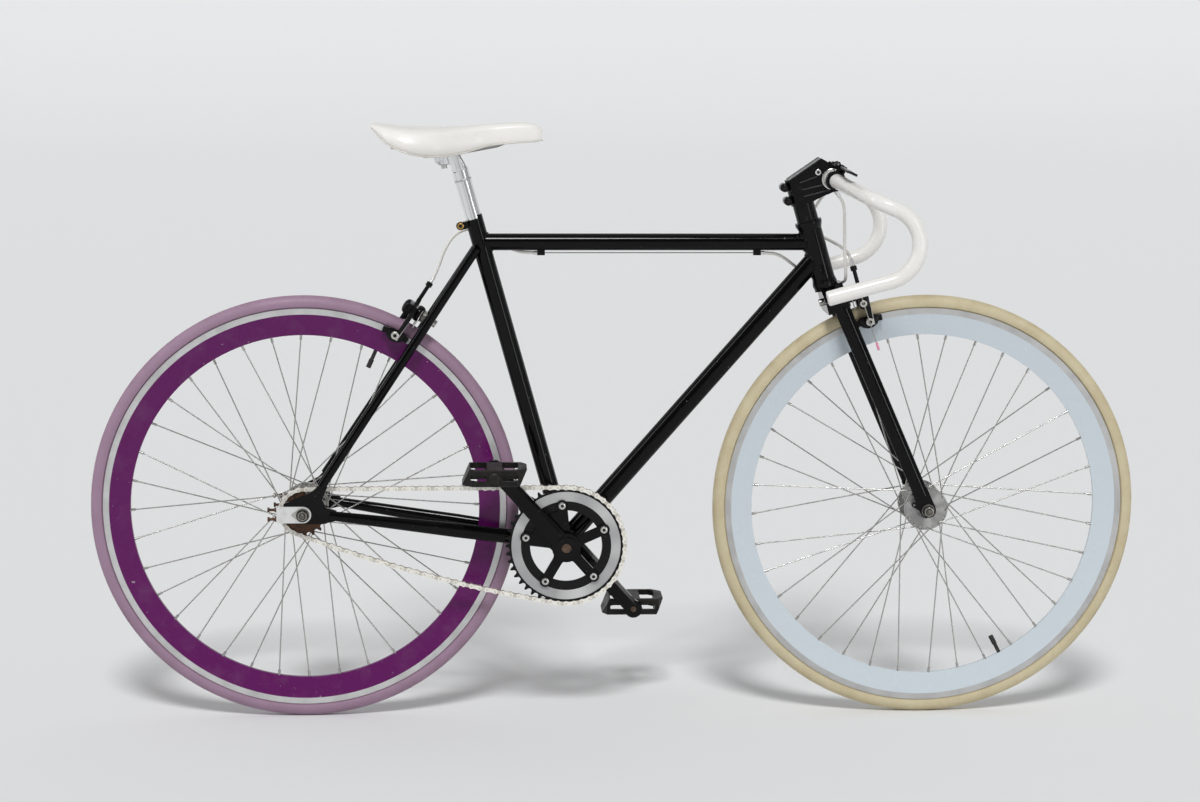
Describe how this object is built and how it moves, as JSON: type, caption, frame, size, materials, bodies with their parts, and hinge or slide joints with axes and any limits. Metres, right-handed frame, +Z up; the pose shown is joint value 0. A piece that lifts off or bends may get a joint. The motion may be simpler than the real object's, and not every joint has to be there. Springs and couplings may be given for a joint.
{
  "type": "fixed gear bicycle",
  "caption": "Steel fixed gear bicycle with a drop handlebar, side-pull brakes, deep painted rims and a bolted chain drive.",
  "frame": {"origin": "on the ground, midway between the two wheel contacts, in the middle plane", "axes": "+X forward, +Y to the rider's left, +Z up; the chain is on the rider's right, at -Y"},
  "size_m": [1.6564, 0.423, 0.9441],
  "materials": {
    "black_steel": "gloss black paint on steel tube",
    "black_alloy": "gloss black paint on alloy",
    "silver_alloy": "worn polished alloy",
    "white_alloy": "gloss white paint on alloy",
    "white_rim": "satin bluish white coat",
    "purple_rim": "gloss purple anodised coat with a bare brake track",
    "cream_tyre": "aged cream rubber",
    "mauve_tyre": "dusty mauve rubber",
    "tube_rubber": "matte black rubber",
    "bright_steel": "bright steel wire and nuts",
    "rusty_steel": "brown surface rust",
    "white_chain": "chipped white paint with grease",
    "black_plastic": "worn dark plastic",
    "white_cover": "smooth glossy white synthetic leather",
    "white_plastic": "gloss white plastic",
    "brass_bolt": "dull yellow brass"
  },
  "bodies": {
    "frame": {"head_tube": "black_steel", "top_tube": "black_steel", "down_tube": "black_steel", "seat_tube": "black_steel", "bottom_bracket_shell": "black_steel", "chain_stays": "black_steel", "seat_stays": "black_steel", "dropouts": "black_steel", "seat_clamp_bolt": "brass_bolt", "headset_cups": "black_alloy", "bottom_bracket_cups": "black_alloy", "rear_axle": "bright_steel", "chain_tensioners": "silver_alloy", "chain_tensioner_bolts": "rusty_steel", "chain": "white_chain", "rear_brake_housing": "white_plastic", "rear_brake_wire": "bright_steel", "rear_brake_bolt": "black_alloy"},
    "seat": {"seatpost": "silver_alloy", "saddle_clamp": "silver_alloy", "saddle_rails": "bright_steel", "saddle_shell": "white_plastic", "saddle_cover": "white_cover"},
    "steering": {"fork_crown": "black_steel", "fork_blades": "black_steel", "headset_spacers": "black_alloy", "stem": "black_alloy", "stem_faceplate": "black_alloy", "stem_bolts": "rusty_steel", "handlebar": "white_alloy", "bar_end_plugs": "white_plastic", "front_axle": "bright_steel", "front_brake_bolt": "black_alloy", "brake_lever_clamps": "black_alloy", "front_brake_housing": "white_plastic", "rear_brake_loop": "white_plastic"},
    "front_wheel": {"front_tyre": "cream_tyre", "front_inner_tube": "tube_rubber", "front_rim": "white_rim", "front_spokes": "bright_steel", "front_hub": "silver_alloy"},
    "rear_wheel": {"rear_tyre": "mauve_tyre", "rear_inner_tube": "tube_rubber", "rear_rim": "purple_rim", "rear_spokes": "bright_steel", "rear_hub": "silver_alloy", "rear_sprocket": "rusty_steel"},
    "crankset": {"crank_axles": "rusty_steel", "crank_arm_right": "black_alloy", "chainring": "silver_alloy", "chainring_bolts": "bright_steel", "crank_arm_left": "black_alloy"},
    "right_pedal": {"pedal_right": "black_plastic"},
    "left_pedal": {"pedal_left": "black_plastic"},
    "front_right_arm": {"front_caliper_arm_right": "black_alloy"},
    "front_left_arm": {"front_caliper_arm_left": "black_alloy"},
    "rear_right_arm": {"rear_caliper_arm_right": "black_alloy"},
    "rear_left_arm": {"rear_caliper_arm_left": "black_alloy"},
    "front_lever": {"front_brake_lever": "black_alloy"},
    "rear_lever": {"rear_brake_lever": "black_alloy"}
  },
  "joints": [
    {"name": "steering_turn", "type": "hinge", "parent": "frame", "child": "steering", "pos_m": [0.436, 0, 0.32105], "axis": [-0.2773, 0, 0.9608], "range_deg": [-60, 60], "deforming": ["rear_brake_loop"]},
    {"name": "front_wheel_spin", "type": "hinge", "parent": "steering", "child": "front_wheel", "pos_m": [0.49125, 0, 0.337], "axis": [0, 1, 0], "continuous": true},
    {"name": "rear_wheel_spin", "type": "hinge", "parent": "frame", "child": "rear_wheel", "pos_m": [-0.49125, 0, 0.337], "axis": [0, 1, 0], "continuous": true, "deforming": ["chain"]},
    {"name": "crank_spin", "type": "hinge", "parent": "frame", "child": "crankset", "pos_m": [-0.08006, 0, 0.2816], "axis": [0, 1, 0], "continuous": true, "deforming": ["chain"]},
    {"name": "right_pedal_spin", "type": "hinge", "parent": "crankset", "child": "right_pedal", "pos_m": [-0.19315, -0.1, 0.40853], "axis": [0, 1, 0], "continuous": true},
    {"name": "left_pedal_spin", "type": "hinge", "parent": "crankset", "child": "left_pedal", "pos_m": [0.03302, 0.1, 0.15467], "axis": [0, 1, 0], "continuous": true},
    {"name": "seat_height", "type": "slide", "parent": "frame", "child": "seat", "axis": [-0.2701, 0, 0.9628], "range_m": [-0.05, 0.045]},
    {"name": "front_lever_pull", "type": "hinge", "parent": "steering", "child": "front_lever", "pos_m": [0.34683, 0.038, 0.8751], "axis": [-0.9063, 0, 0.4226], "range_deg": [0, 6], "stiffness_Nm_per_rad": 2, "springref_deg": -5.73, "deforming": ["front_brake_housing"]},
    {"name": "rear_lever_pull", "type": "hinge", "parent": "steering", "child": "rear_lever", "pos_m": [0.34683, -0.038, 0.8751], "axis": [0.9063, 0, -0.4226], "range_deg": [0, 6], "stiffness_Nm_per_rad": 2, "springref_deg": -5.73, "deforming": ["rear_brake_housing"]},
    {"name": "front_right_arm_close", "type": "hinge", "parent": "steering", "child": "front_right_arm", "pos_m": [0.33659, 0, 0.6655], "axis": [0.9608, 0, 0.2773], "range_deg": [0, 2.25], "stiffness_Nm_per_rad": 4, "springref_deg": -6.88},
    {"name": "front_left_arm_close", "type": "hinge", "parent": "steering", "child": "front_left_arm", "pos_m": [0.33659, 0, 0.6655], "axis": [-0.9608, 0, -0.2773], "range_deg": [0, 2.25], "stiffness_Nm_per_rad": 4, "springref_deg": -6.88, "deforming": ["front_brake_housing"]},
    {"name": "rear_left_arm_close", "type": "hinge", "parent": "frame", "child": "rear_left_arm", "pos_m": [-0.2951, 0, 0.6347], "axis": [-0.8343, 0, 0.5513], "range_deg": [0, 2.25], "stiffness_Nm_per_rad": 4, "springref_deg": -6.88},
    {"name": "rear_right_arm_close", "type": "hinge", "parent": "frame", "child": "rear_right_arm", "pos_m": [-0.2951, 0, 0.6347], "axis": [0.8343, 0, -0.5513], "range_deg": [0, 2.25], "stiffness_Nm_per_rad": 4, "springref_deg": -6.88, "deforming": ["rear_brake_housing"]}
  ],
  "couplings": [
    {"joint": "crank_spin", "follows": "rear_wheel_spin", "ratio": 0.3913},
    {"joint": "front_right_arm_close", "follows": "front_lever_pull", "ratio": 0.37},
    {"joint": "front_left_arm_close", "follows": "front_lever_pull", "ratio": 0.37},
    {"joint": "rear_left_arm_close", "follows": "rear_lever_pull", "ratio": 0.37},
    {"joint": "rear_right_arm_close", "follows": "rear_lever_pull", "ratio": 0.37}
  ]
}
